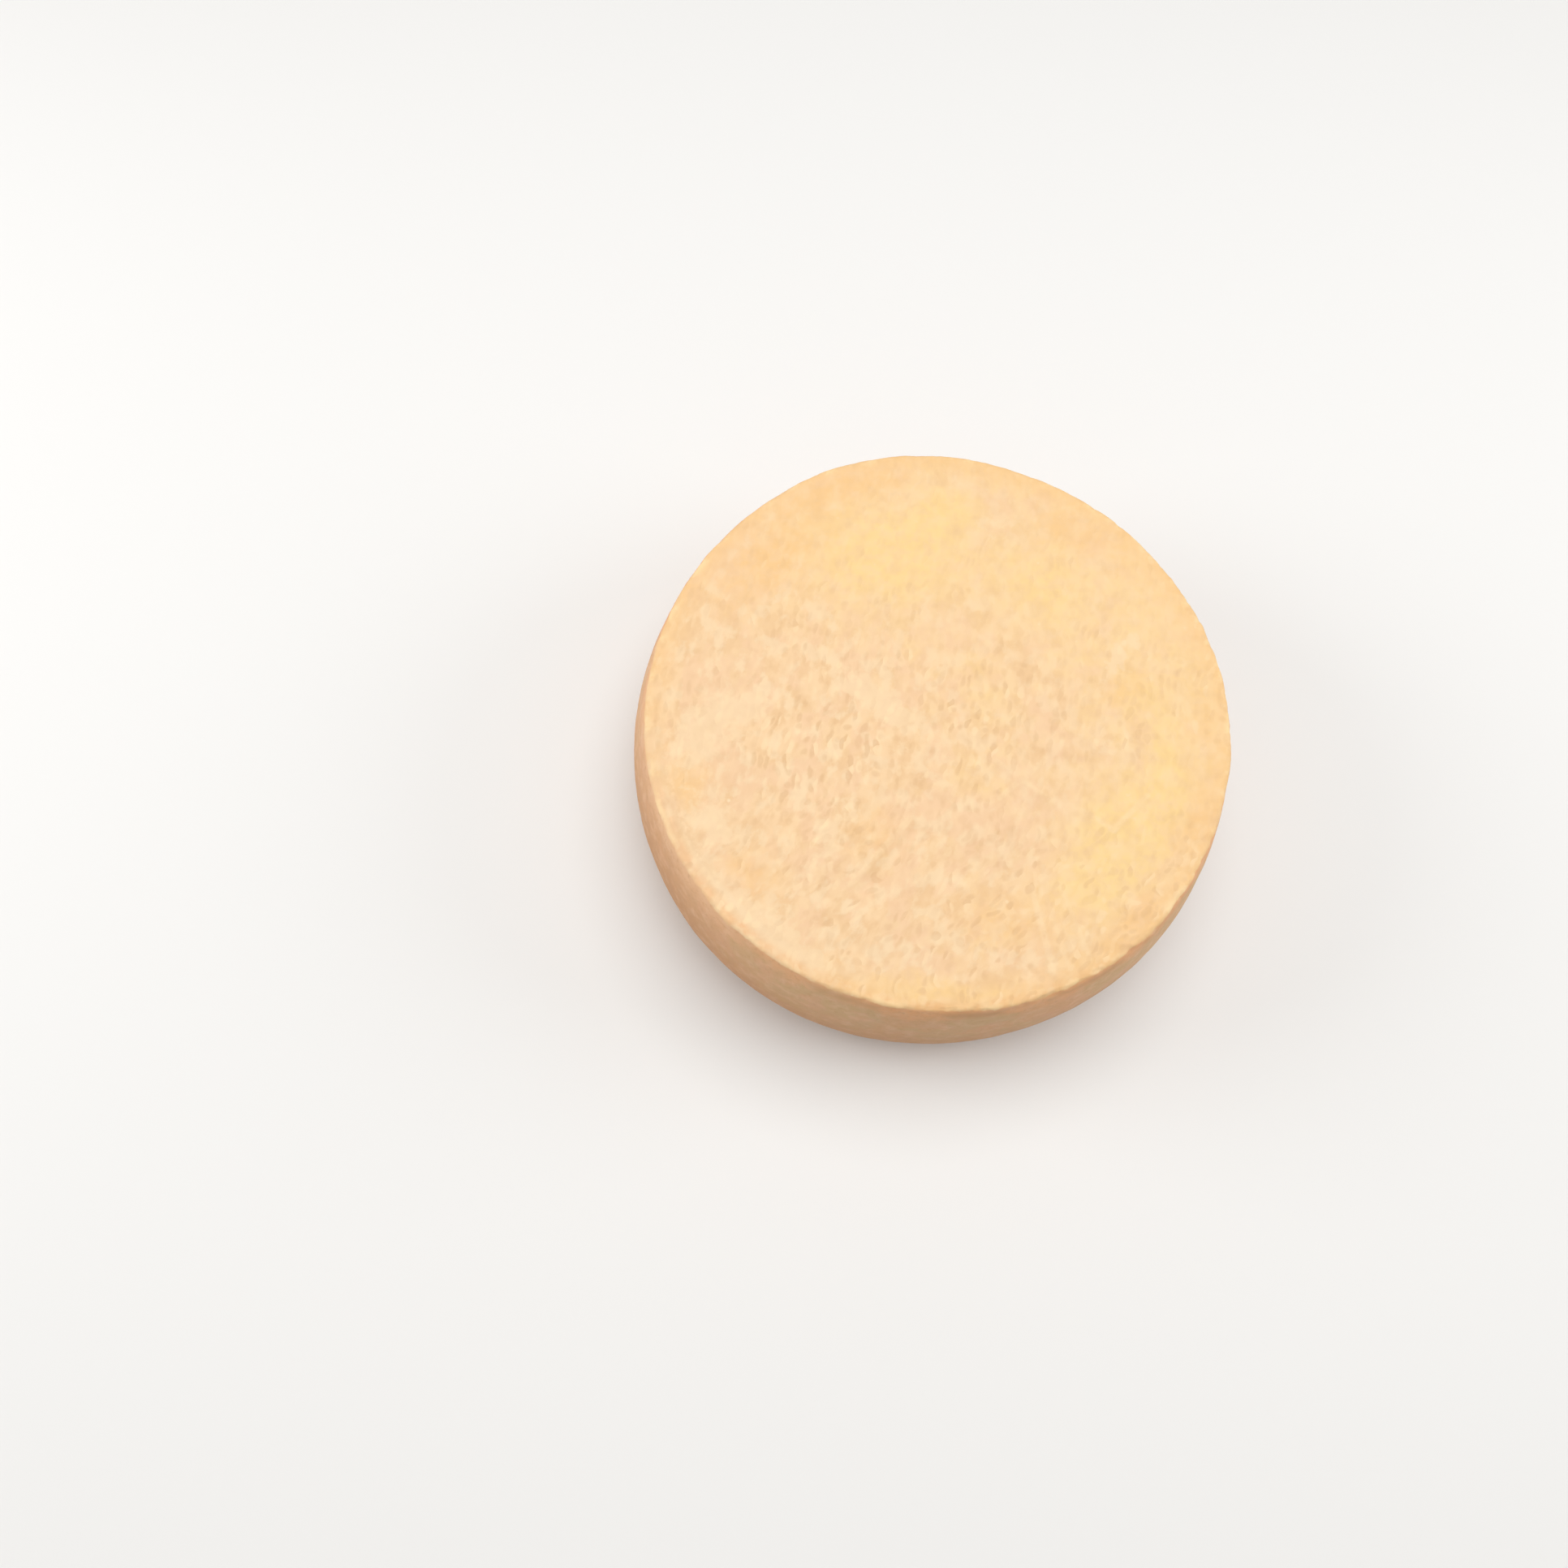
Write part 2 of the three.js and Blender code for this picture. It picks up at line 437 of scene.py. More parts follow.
def cloth_cells(recipe, skin, pitches, randomness, shift=0.0, curl=0.0):
    """The uneven lattice of the cloth's mesh, laid on the skin at the given pitches."""
    sway_x, sway_y = recipe.noise_pair(skin.point, SWAY_LENGTH, detail=2.0)
    edge_x, edge_y = recipe.noise_pair(skin.point, EDGE_SWAY_LENGTH)
    along, across = along_threads(recipe, skin, shift)
    along = along + sway_y * CLOTH_SWAY + edge_y * EDGE_SWAY
    across = across + sway_x * CLOTH_SWAY + edge_x * EDGE_SWAY
    if curl:
        curl_x, curl_y = recipe.noise_pair(skin.point, CURL_LENGTH)
        along = along + curl_y * curl
        across = across + curl_x * curl
    grid = recipe.join(across / pitches[0], along / pitches[1], 0.0)
    return recipe.cells(grid, randomness)


def dabs(recipe, skin, pitches, shift, curl=0.0):
    """Soft dabs, some pale and some dark, each from 0 to 1."""
    distance, tone, size = cloth_cells(recipe, skin, pitches, DAB_RANDOMNESS, shift, curl)
    edge = size * DAB_REACH_SPREAD + DAB_REACH
    dab = recipe.step(distance, edge - DAB_SOFTNESS, edge, at_low=1.0, at_high=0.0)
    return dab * recipe.most(1.0 - tone * 2.0, 0.0), dab * recipe.most(tone * 2.0 - 1.0, 0.0)


def cloth_pits(recipe, skin):
    """How much of a pit between the cloth's threads a point lies in, from 0 to 1."""
    distance, strength, _ = cloth_cells(recipe, skin, PIT_PITCH, PIT_RANDOMNESS)
    return recipe.step(distance, PIT_BOTTOM, PIT_REACH, at_low=1.0, at_high=0.0) * strength


def cloth_grip(recipe, skin):
    """How firmly the cloth marked each part of a face: most left of the middle."""
    broad = recipe.noise(skin.point, GRIP_PATCH_LENGTH, detail=3.0)
    firm = recipe.step(broad, 0.40, 0.60, at_low=0.5, at_high=1.0)
    grip_x, grip_y = GRIP_PLACE
    middle_left = recipe.bell(recipe.length(skin.x - grip_x, skin.y - grip_y), GRIP_REACH)
    slack = recipe.step(skin.y, *SLACK_SPAN, at_low=1.0, at_high=0.6)
    return firm * (middle_left * 0.70 + 0.48) * slack


def cloth_marks(recipe, skin):
    """How pale and how dark the cloth left each point of a face, both from 0 to about 1."""
    fine_pale, fine_dark = dabs(recipe, skin, FINE_DAB, 0.0)
    short_pale, short_dark = dabs(recipe, skin, SHORT_DAB, SHORT_DAB_SHIFT, CURL)
    grip = cloth_grip(recipe, skin)
    front = recipe.step(skin.y, *SHORT_DAB_SPAN)
    fine = (1.0 - front * 0.75) * grip * 1.10
    short = front * (grip * 0.6 + 0.40)
    broad = recipe.noise(skin.point, BROAD_DAB_LENGTH, detail=1.0) - 0.5
    broad = broad * recipe.step(skin.y, *BROAD_DAB_SPAN, *BROAD_DAB_STRENGTHS)
    pale = fine_pale * fine + short_pale * short + recipe.most(broad, 0.0)
    dark = fine_dark * fine + short_dark * short - recipe.least(broad, 0.0)
    dark = dark + cloth_pits(recipe, skin) * grip * 0.75
    return recipe.least(pale, 0.95), recipe.least(dark, 0.90)


def beads(recipe, skin):
    """Small round beads of bloom, here and there on the faces, from 0 to 1."""
    spread = recipe.join(skin.x / BEAD_PITCH, skin.y / BEAD_PITCH, skin.z / BEAD_PITCH)
    distance, chosen, _ = recipe.cells(spread, 1.0, "3D")
    reach = BEAD_RADIUS / BEAD_PITCH
    bead = recipe.step(distance, reach * 0.2, reach, at_low=1.0, at_high=0.0) * skin.face
    return bead * recipe.step(chosen, 0.60, 0.95)      # three seeds in five carry no bead


def rim_wear(recipe, skin):
    """Small notches and crumbled spots of the upper edge, from 0 to 1."""
    bites = recipe.step(recipe.noise(skin.point, NOTCH_LENGTH, detail=3.0), 0.46, 0.70)
    worn_side = recipe.bell(recipe.turn_between(skin.angle, NOTCH_ANGLE), NOTCH_SPREAD)
    edge = recipe.bell(recipe.length(skin.inset - NOTCH_INSET, skin.drop), NOTCH_REACH)
    return bites * edge * (worn_side * 0.6 + 0.4)


# ---------------------------------------------------------------------------------------------
# The wheel's shape.

def side_profile():
    """The wheel's outline below its upper face, as (radius, height) from the rim to the foot."""
    lean = math.radians(FLARE_ANGLE)
    outward = Vector((math.sin(lean), -math.cos(lean)))
    corner = Vector((RIM_RADIUS, HEIGHT))
    edge_start = Vector((RIM_RADIUS - RIM_ROUNDING, HEIGHT))
    edge_end = corner + outward * RIM_ROUNDING
    belly = Vector((RIM_RADIUS + BELLY_SWELL, BELLY_LEVEL))
    foot = Vector((FOOT_RADIUS, 0))
    corner_pull = 2 / 3     # makes a cubic curve of the quadratic one with that corner
    bends = [
        (edge_start, edge_start.lerp(corner, corner_pull), edge_end.lerp(corner, corner_pull),
         edge_end, RIM_STEPS),
        (edge_end, edge_end + outward * SHOULDER_SWEEP, belly + Vector((0, SHOULDER_SWEEP)),
         belly, SHOULDER_STEPS),
        (belly, belly - Vector((0, BELLY_SWEEP)), foot + Vector((FOOT_SWEEP, 0)),
         foot, LOWER_STEPS),
    ]
    stops = []
    for start, leave, arrive, end, steps in bends:
        stops += interpolate_bezier(start, leave, arrive, end, steps + 1)[1:]
    return stops


def lathe_wheel():
    """A true round wheel: a gridded disc whose rim is carried down the side and closed."""
    radius, height = RIM_RADIUS - RIM_ROUNDING, HEIGHT
    bpy.ops.object.select_all(action="DESELECT")
    bpy.ops.mesh.primitive_circle_add(vertices=SECTORS, radius=radius, location=(0, 0, height))
    wheel = bpy.context.active_object
    wheel.name = "cheese_rind"
    bpy.ops.object.mode_set(mode="EDIT")
    bpy.ops.mesh.fill_grid(span=SECTORS // 4)
    bpy.ops.mesh.region_to_loop()
    for stop_radius, stop_height in side_profile():
        bpy.ops.mesh.extrude_region_move()
        bpy.ops.transform.translate(value=(0, 0, stop_height - height))
        growth = stop_radius / radius
        bpy.ops.transform.resize(value=(growth, growth, 1), center_override=(0, 0, 0))
        radius, height = stop_radius, stop_height
    bpy.ops.mesh.fill_grid(span=SECTORS // 4)
    bpy.ops.mesh.select_all(action="SELECT")
    bpy.ops.mesh.normals_make_consistent(inside=False)
    bpy.ops.object.mode_set(mode="OBJECT")
    bpy.ops.object.transform_apply(location=True, rotation=True, scale=True)
    return wheel


def refine(wheel):
    """Rounds the skin off and divides the upper face and the rim once more."""
    smooth = wheel.modifiers.new("smooth_skin", "SUBSURF")
    smooth.levels = 1
    smooth.render_levels = 1
    bpy.ops.object.modifier_apply(modifier=smooth.name)
    bpy.ops.object.mode_set(mode="EDIT")
    bpy.ops.mesh.select_mode(type="FACE")
    bpy.ops.mesh.select_all(action="DESELECT")
    bpy.ops.object.mode_set(mode="OBJECT")
    for face in wheel.data.polygons:
        face.select = face.center.z > FINE_SKIN_LEVEL
    bpy.ops.object.mode_set(mode="EDIT")
    bpy.ops.mesh.subdivide(number_cuts=1)
    bpy.ops.object.mode_set(mode="OBJECT")


def hummocks(recipe, x, y):
    """Slow swells of the upper face: waves that get shorter and lower from one to the next."""
    height = 0.0
    for wave in range(HUMMOCKS):
        turn = wave * HUMMOCK_TURN
        length = HUMMOCK_LENGTH / (1 + wave * HUMMOCK_SHORTENING)
        swell = HUMMOCK_HEIGHT / (1 + wave * HUMMOCK_LOWERING)
        along = x * math.cos(turn) + y * math.sin(turn)
        height = recipe.math("SINE", along * (math.tau / length) + turn) * swell + height
    return height


def creases(recipe, x, y):
    """Folds that the cloth left on the upper face."""
    height = 0.0
    for (start_x, start_y), (end_x, end_y), fold in CREASES:
        run_x, run_y = end_x - start_x, end_y - start_y
        run = run_x ** 2 + run_y ** 2
        share = ((x - start_x) * run_x + (y - start_y) * run_y) / run
        share = recipe.most(recipe.least(share, 1.0), 0.0)
        distance = recipe.length(x - start_x - share * run_x, y - start_y - share * run_y)
        height = recipe.bell(distance, CREASE_WIDTH) * fold + height
    return height


def lip(recipe, radius, angle):
    """The raised lip and the groove behind it, along one stretch of the rim."""
    inset = RIM_RADIUS - radius
    crest = recipe.bell(inset - LIP_INSET, LIP_WIDTH) * LIP_HEIGHT
    groove = recipe.bell(inset - GROOVE_INSET, LIP_WIDTH) * GROOVE_DEPTH
    return (crest - groove) * recipe.bell(recipe.turn_between(angle, LIP_ANGLE), LIP_SPREAD)


def make_uneven(wheel):
    """Stretches the true wheel to its real outline and raises the broad relief of its top."""
    recipe = ReliefRecipe("uneven_form")
    x, y, level = recipe.parts(recipe.point())
    radius = recipe.length(x, y)
    angle = recipe.math("ARCTAN2", y, x) * math.degrees(1)
    recipe.store("radius", radius)
    recipe.store("level", level)

    twist = (1.0 - level / HEIGHT) * LOBE_TWIST
    lobe_phase = (angle - LOBE_ANGLE - twist) * math.radians(LOBES)
    lobe = recipe.math("COSINE", lobe_phase) * LOBE_HEIGHT
    flat_share = recipe.step(
        level, BELLY_LEVEL, HEIGHT, at_low=FLAT_BELLY_SHARE, at_high=1.0)
    flat = recipe.plateau(recipe.turn_between(angle, FLAT_ANGLE), FLAT_SPREAD) * FLAT_DEPTH
    waves = recipe.noise(recipe.join(x, y, 0.0), SCALLOP_LENGTH, detail=2.0) - 0.5
    near_edge = recipe.step(level, HEIGHT - RELIEF_FADE, HEIGHT)
    near_edge = near_edge * recipe.step(
        radius, RIM_RADIUS - SCALLOP_START, RIM_RADIUS - SCALLOP_FULL)
    scallops = waves * near_edge * SCALLOP_DEPTH
    fuller = recipe.bell(recipe.turn_between(angle, BACK_ANGLE), BACK_SPREAD) * BACK_FULLNESS
    stretch = (lobe + scallops + fuller - flat * flat_share) / RIM_RADIUS + 1.0
    x, y = x * stretch, y * stretch
    fold = lip(recipe, radius, angle) * recipe.step(waves, -0.10, 0.06, *LIP_SHARES)
    relief = hummocks(recipe, x, y) + creases(recipe, x, y) + fold
    relief = relief * recipe.step(level, HEIGHT - RELIEF_FADE, HEIGHT)
    recipe.place_at(recipe.join(x, y, level + relief))
    recipe.apply_to(wheel)


def press_cloth(wheel):
    """Presses the cloth's dabs and pits into the faces, and roughens the whole skin."""
    recipe = ReliefRecipe("cloth_marks")
    skin = Skin(recipe)
    pale, dark = cloth_marks(recipe, skin)
    cloth = (pale - dark) * DAB_HEIGHT - cloth_pits(recipe, skin) * PIT_DEPTH
    grain = (recipe.noise(skin.point, GRAIN_LENGTH, detail=3.0) - 0.5) * 4 * GRAIN_HEIGHT
    dents = (recipe.noise(skin.point, SIDE_DENT_LENGTH, detail=4.0) - 0.5) * 2 * SIDE_DENT_HEIGHT
    swellings = beads(recipe, skin) * BEAD_HEIGHT
    notches = rim_wear(recipe, skin) * NOTCH_DEPTH
    height = skin.face * cloth + skin.side * dents + grain + swellings - notches
    sunk = recipe.least(height - UNDERSIDE_SINK, 0.0)
    height = height * (1.0 - skin.under) + sunk * skin.under
    recipe.swell_by(height)
    recipe.apply_to(wheel)


# ---------------------------------------------------------------------------------------------
# The rind's finish.

PEACH = tint(239, 203, 158)
TAN = tint(233, 194, 147)
PINK = tint(237, 198, 157)
YELLOW = tint(243, 208, 142)
WARM = tint(239, 195, 136)
CREAM = tint(240, 210, 169)
FLECK = tint(246, 216, 172)
# brown of the dark cloth marks and pits, also standing in for the shade of their dents
PIT_BROWN_SHADE = tint(211, 167, 119)
BEAD_WHITE = tint(248, 225, 188)
# pale cream painted as highlights along the upper edge
EDGE_HIGHLIGHT_CREAM = tint(251, 221, 168)
EDGE_ORANGE = tint(234, 184, 127)
SCUFF_PINK = tint(237, 189, 140)
SIDE_ORANGE = tint(238, 176, 122)
SIDE_TAN = tint(222, 170, 125)
SIDE_GREY = tint(214, 174, 126)
SIDE_PINK = tint(226, 172, 132)
# dark brown painted low on the side as shade, also used for the stipple and the line under the rim
SIDE_LOW = tint(198, 146, 100)
SIDE_PALE = tint(238, 196, 157)
# the side's pinker tone with a painted highlight, under the rim at the left
SIDE_HIGHLIGHT_WARM = tint(236, 188, 143)
FLOOR_GREY = tint(238, 237, 235)
ROOM_WHITE = tint(250, 249, 247)

# Pale, yellow and warm patches of the upper face: the middle, the half lengths, the turn in
# degrees and the strength of each.
BLOOM_PATCHES = [
    ((-0.017, 0.004), (0.016, 0.0045), -30, 1.3),
    ((-0.067, -0.010), (0.011, 0.007), 60, 1.2),
    ((-0.054, -0.0015), (0.007, 0.007), 0, 1.1),
    ((-0.061, -0.035), (0.010, 0.007), -50, 1.1),
    # a thin band along the rim at the front left: painted highlight along the edge
    ((-0.045, -0.066), (0.020, 0.006), -34, 1.4),
    ((0.053, 0.019), (0.012, 0.0025), 45, 1.0),
    ((-0.030, -0.038), (0.016, 0.0035), 60, 0.9),
    ((0.049, -0.009), (0.006, 0.004), 0, 0.7),
    ((-0.004, -0.017), (0.012, 0.003), -35, 0.8),
    ((0.018, 0.062), (0.006, 0.008), 20, 0.5),
]
YELLOW_PATCHES = [
    ((-0.014, 0.050), (0.028, 0.019), 0, 1.2),
    ((0.035, 0.040), (0.014, 0.018), 40, 0.9),
    ((0.067, -0.012), (0.009, 0.022), 0, 1.0),
    ((0.057, 0.009), (0.007, 0.009), 20, 0.9),
    ((0.046, -0.045), (0.020, 0.012), 45, 1.2),
    ((0.014, 0.006), (0.007, 0.011), 0, 0.55),
    ((0.052, -0.028), (0.014, 0.010), 0, 0.8),
    ((0.004, 0.066), (0.010, 0.008), 0, 0.8),
    ((0.002, -0.080), (0.026, 0.004), 0, 1.0),
]
WARM_PATCHES = [
    ((-0.069, -0.025), (0.007, 0.006), 0, 1.0),
    ((-0.050, -0.049), (0.008, 0.007), 0, 0.8),
    ((-0.018, -0.037), (0.008, 0.007), 0, 0.7),
    ((0.019, -0.060), (0.014, 0.008), 0, 0.7),
    ((0.056, 0.010), (0.008, 0.006), 20, 0.7),
    ((0.004, -0.080), (0.030, 0.004), 0, 0.6),
    ((-0.048, 0.048), (0.020, 0.010), 45, 1.2),
    ((-0.025, 0.073), (0.020, 0.006), 20, 1.2),
    ((0.052, 0.057), (0.016, 0.008), -45, 0.6),
    ((0.078, 0.000), (0.006, 0.014), 0, 0.6),
    ((0.038, 0.060), (0.010, 0.007), -45, 0.7),
    ((0.072, -0.032), (0.014, 0.006), 66, 1.0),
    ((0.052, -0.062), (0.018, 0.006), 40, 1.2),
    ((-0.024, -0.076), (0.011, 0.004), -17, 1.0),
]
PATCH_SWAY = 0.014          # how far the edges of the patches wander
PATCH_SWAY_LENGTH = 0.009

# Clouds and spots of colour, by their size.
CLOUD_LENGTH = 0.018        # the broad clouds and the fine mottle that many colours follow
MOTTLE_LENGTH = 0.0040
TAN_LENGTH = 0.0062         # blotches of tan, pink and bloom on the faces
PINK_LENGTH = 0.0080
BLOOM_LENGTH = 0.0050
BLOTCH_SQUEEZE = 0.7        # makes the blotches longer along the threads
FINE_GRAIN_LENGTH = 0.0007  # grain too fine for the mesh
FINE_GRAIN_DEPTH = 0.00012
FINE_GRAIN_STRENGTH = 0.22
GLOSS_ROUGHNESS = (0.62, 0.78)      # it is a waxy matt all over, a little duller in spots
YELLOW_LEAN = (0.8, 0.3)    # how much the face yellows to the right and to the back
FOLD_HEIGHTS = (0.00006, 0.00028)   # a fold gets paler between these heights

# The upper edge. Angles are the middles of the stretches, and insets are inwards from the rim.
BARE_RIM_WIDTH = 0.011      # strip inside the rim where handling rubbed the bloom off
BARE_RIM_SWAY = 0.012       # how far its inner line wanders
KEPT_BLOOM_ANGLE = 221      # where that bloom stayed, by the lip
KEPT_BLOOM_SPREAD = 34
SCUFF_ANGLE = 228           # where only the outermost edge is bare
SCUFF_SPREAD = 26
SCUFF_WIDTH = 0.0040
SCUFF_GAP_LENGTH = 0.0050
FRONT_ANGLE = 275           # where that edge is most orange
FRONT_SPREAD = 28
FRONT_WIDTH = 0.0032
LIP_PALE_INSET = 0.0048    # bloom and painted highlight on the inner slope of the lip
LIP_PALE_WIDTH = 0.0018
GROOVE_LINE_ANGLE = 208            # dark line in the groove behind the lip
EDGE_HIGHLIGHT_LENGTH = 0.0048       # painted highlights in broken patches along the edge
EDGE_HIGHLIGHT_INSET = 0.0004
EDGE_HIGHLIGHT_WIDTH = 0.0014
MARKS_INSETS = (-0.0004, 0.0022)    # where the cloth's marks begin, and where they are full

# The side, by drop below the rim or by level above the shelf.
GREY_SIDE_ANGLE = 258       # where grey bloom is thickest
GREY_SIDE_SPREAD = 38
HIGHLIT_EDGE_ANGLE = 208       # where a highlight is painted on the side under the rim, where it flares
HIGHLIT_EDGE_SPREAD = 28
BROWN_LINE_ANGLE = 282       # where a brown line shows under the rim
BROWN_LINE_SPREAD = 40
BROWN_LINE_DROP = 0.0031
BROWN_LINE_WIDTH = 0.0016
ORANGE_DROPS = (0.0010, 0.0080)     # the orange strip is full, then gone
ORANGE_CLOUD_SWAY = 0.014           # how far the clouds and the mottle shift its lower line
ORANGE_MOTTLE_SWAY = 0.010
LOW_SIDE_SHADE_LEVELS = (0.049, 0.022)    # the painted shade of the low side begins, then is full
LOW_SIDE_SHADE_SWAY = 0.014
LOW_SIDE_SHADE_RISE = 0.012               # it begins this much higher under the painted highlight of the edge
BARE_SPOT_LENGTH = 0.0085           # pink spots where the bloom is off
FILM_LENGTH = 0.0034                # thin pale film, fainter towards the foot
FILM_LEVELS = (0.020, 0.050)
STIPPLE_LENGTH = 0.0014             # fine dark stipple


def patches(recipe, skin, spots):
    """Soft patches with ragged edges, from 0 to 1."""
    sway_x, sway_y = recipe.noise_pair(skin.point, PATCH_SWAY_LENGTH, detail=3.0)
    total = 0.0
    for (x, y), (half_length, half_width), turn, strength in spots:
        turn = math.radians(turn)
        right, up = skin.x + sway_x * PATCH_SWAY - x, skin.y + sway_y * PATCH_SWAY - y
        along = (right * math.cos(turn) + up * math.sin(turn)) / half_length
        across = (up * math.cos(turn) - right * math.sin(turn)) / half_width
        total = recipe.bell(recipe.length(along, across), 1.0) * strength + total
    return recipe.least(total, 1.0) * skin.top


def blotches(recipe, skin, size, low, high, seed):
    """Ragged blotches that run a little along the threads, from 0 to 1."""
    along, across = along_threads(recipe, skin, seed)
    stretched = recipe.join(across, along * BLOTCH_SQUEEZE, skin.z + seed)
    return recipe.step(recipe.noise(stretched, size, detail=4.0, roughness=0.52), low, high)


def rubbed_rim(recipe, skin, mottle):
    """The strip along the rim that has lost its bloom, save by the lip, from 0 to 1."""
    inset = skin.inset + (mottle - 0.5) * BARE_RIM_SWAY
    strip = recipe.step(inset, 0.0, BARE_RIM_WIDTH, at_low=1.0, at_high=0.0)
    kept = recipe.bell(recipe.turn_between(skin.angle, KEPT_BLOOM_ANGLE), KEPT_BLOOM_SPREAD)
    return strip * (1.0 - kept)


def lip_bloom_and_highlight(recipe, skin):
    """Bloom and painted highlight on the inner slope of the lip and a little beyond its end, from 0
    to 1.
    """
    slope = recipe.bell(skin.inset - LIP_PALE_INSET, LIP_PALE_WIDTH)
    return slope * recipe.bell(recipe.turn_between(skin.angle, SCUFF_ANGLE), SCUFF_SPREAD)


def dark_groove_line(recipe, skin, mottle):
    """Broken dark line in the groove behind the lip, from 0 to 1."""
    groove = recipe.bell(skin.inset - GROOVE_INSET, LIP_WIDTH)
    stretch = recipe.bell(recipe.turn_between(skin.angle, GROOVE_LINE_ANGLE), LIP_SPREAD)
    return groove * stretch * recipe.step(mottle, 0.40, 0.56)


def scuffed_edge(recipe, skin, middle, spread, width):
    """Strip of the edge where the bloom is scuffed off, from 0 to 1."""
    stretch = recipe.bell(recipe.turn_between(skin.angle, middle), spread)
    strip = recipe.step(skin.inset, width * 0.4, width, at_low=1.0, at_high=0.0)
    gaps = recipe.noise(skin.point, SCUFF_GAP_LENGTH, detail=3.0)
    return stretch * strip * recipe.step(gaps, 0.42, 0.58, at_low=0.40, at_high=1.0)


def ground_colour(recipe, skin, clouds, mottle, laid):
    """The face under the cloth's marks: peach cream, yellower to the right and the back, warm
    where it is bare, and paler where bloom lies."""
    right, back = YELLOW_LEAN
    eastward = (skin.x * right + skin.y * back) / RIM_RADIUS
    ragged = recipe.step(mottle, 0.36, 0.62, at_low=0.55, at_high=0.9)
    tan = blotches(recipe, skin, TAN_LENGTH, low=0.45, high=0.57, seed=0.2)
    pink = blotches(recipe, skin, PINK_LENGTH, low=0.45, high=0.59, seed=0.4) * 0.8
    colour = recipe.blend(tan, PEACH, TAN)
    colour = recipe.blend(pink, colour, PINK)

    yellow = recipe.step(eastward + (clouds - 0.5) * 2.8, -0.1, 0.9) * 0.6
    yellow = recipe.most(yellow, patches(recipe, skin, YELLOW_PATCHES))
    colour = recipe.blend(yellow * ragged, colour, YELLOW)
    warm = patches(recipe, skin, WARM_PATCHES)
    warm = recipe.most(warm, rubbed_rim(recipe, skin, mottle))
    colour = recipe.blend(warm * ragged, colour, WARM)

    bloom = blotches(recipe, skin, BLOOM_LENGTH, low=0.48, high=0.62, seed=0.8)
    bloom = bloom * (1.0 - recipe.most(yellow, warm))
    clouded = eastward - (clouds - 0.5) * 2.0
    bloom = bloom * recipe.step(clouded, -0.5, 0.5, at_low=0.9, at_high=0.5)
    # the lip's paleness is bloom and painted highlight
    bloom = recipe.most(bloom, recipe.most(laid * 0.7, lip_bloom_and_highlight(recipe, skin)))
    colour = recipe.blend(bloom, colour, CREAM)
    folds = recipe.step(creases(recipe, skin.x, skin.y), *FOLD_HEIGHTS)
    folds = folds * recipe.step(mottle, 0.38, 0.60, at_low=0.1, at_high=0.5)
    return recipe.blend(folds, colour, FLECK)


def edge_colour(recipe, skin, colour):
    """Lays the scuffs of the upper edge over the face's colour, and painted highlights along it."""
    scuffed = scuffed_edge(recipe, skin, SCUFF_ANGLE, SCUFF_SPREAD, SCUFF_WIDTH)
    colour = recipe.blend(scuffed, colour, SCUFF_PINK)
    front = scuffed_edge(recipe, skin, FRONT_ANGLE, FRONT_SPREAD, FRONT_WIDTH)
    colour = recipe.blend(front, colour, EDGE_ORANGE)
    # painted highlights in broken patches along the outermost edge
    edge_highlights = recipe.noise(skin.point, EDGE_HIGHLIGHT_LENGTH, detail=3.0)
    edge_highlights = recipe.step(edge_highlights, 0.46, 0.66, at_low=0.0, at_high=0.65)
    edge_highlights = edge_highlights * recipe.bell(skin.inset - EDGE_HIGHLIGHT_INSET, EDGE_HIGHLIGHT_WIDTH)
    edge_highlights = edge_highlights * (1.0 - recipe.most(scuffed, front) * 0.6)
    return recipe.blend(edge_highlights, colour, EDGE_HIGHLIGHT_CREAM)


def face_colour(recipe, skin, clouds, mottle):
    """The face with bloom, scuffed edge, painted highlights on the edge and lip, and the cloth's
    pale and dark marks, the dark deepened by painted shade.
    """
    laid = patches(recipe, skin, BLOOM_PATCHES) + (mottle - 0.5) * 2.6
    laid = recipe.step(laid, 0.30, 0.90)
    colour = ground_colour(recipe, skin, clouds, mottle, laid)
    colour = edge_colour(recipe, skin, colour)
    pale, dark = cloth_marks(recipe, skin)
    # a broken darker line along the groove behind the lip
    dark = recipe.most(dark, dark_groove_line(recipe, skin, mottle) * 0.7)
    inside = recipe.step(skin.inset, *MARKS_INSETS, at_low=0.4, at_high=1.0)
    colour = recipe.blend(pale * (laid * 0.5 + 0.64) * inside, colour, FLECK)
    # dark marks and pits: their own brown, deepened with painted shade of the dents
    return recipe.blend(dark * 0.49 * inside * (1.0 - laid * 0.5), colour, PIT_BROWN_SHADE)


